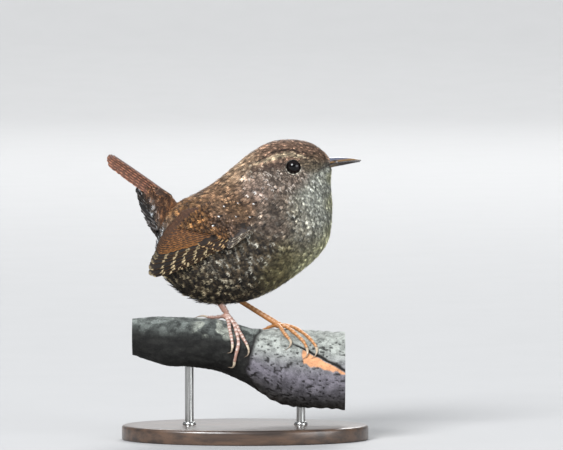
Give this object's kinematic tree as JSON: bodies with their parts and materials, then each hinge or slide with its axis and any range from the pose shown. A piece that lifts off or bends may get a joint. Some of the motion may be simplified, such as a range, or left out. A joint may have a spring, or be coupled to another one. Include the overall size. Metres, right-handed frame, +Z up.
{
  "type": "winter wren",
  "caption": "Small brown wren, life size, perched with cocked tail on a cut length of branch over an oval display base.",
  "frame": {"origin": "middle of the underside of the oval display base", "axes": "+X is the way the bird faces, +Y is towards its left side, +Z is up"},
  "size_m": [0.0888, 0.052, 0.1022],
  "materials": {
    "plumage_brown": "matte barred brown feathers",
    "plumage_breast": "matte buff feathers, barred and spotted darker on the flanks and belly",
    "wing_feathers": "matte rufous feathers with dark bars and pale spots",
    "tail_feathers": "matte reddish brown feathers with thin dark bars",
    "bill": "satin dark horn",
    "eye": "glossy near black",
    "leg": "satin scaly orange brown skin",
    "claw": "satin pale horn",
    "bark": "rough weathered bark with bare cut ends",
    "stand_base": "dark satin lacquered wood",
    "stand_rod": "brushed"
  },
  "bodies": {
    "root": {"bill_lower": "bill", "bill_upper": "bill", "claw_left_hind": "claw", "claw_left_inner": "claw", "claw_left_middle": "claw", "claw_left_outer": "claw", "claw_right_hind": "claw", "claw_right_inner": "claw", "claw_right_middle": "claw", "claw_right_outer": "claw", "eye_left": "eye", "eye_right": "eye", "foot_left": "leg", "foot_right": "leg", "head": "plumage_brown", "leg_left": "leg", "leg_right": "leg", "neck": "plumage_brown", "perch_branch": "bark", "stand_base": "stand_base", "stand_rod_1": "stand_rod", "stand_rod_2": "stand_rod", "tail": "tail_feathers", "thigh_left": "plumage_breast", "thigh_right": "plumage_breast", "torso": "plumage_breast", "wing_left": "wing_feathers", "wing_right": "wing_feathers"}
  },
  "joints": []
}
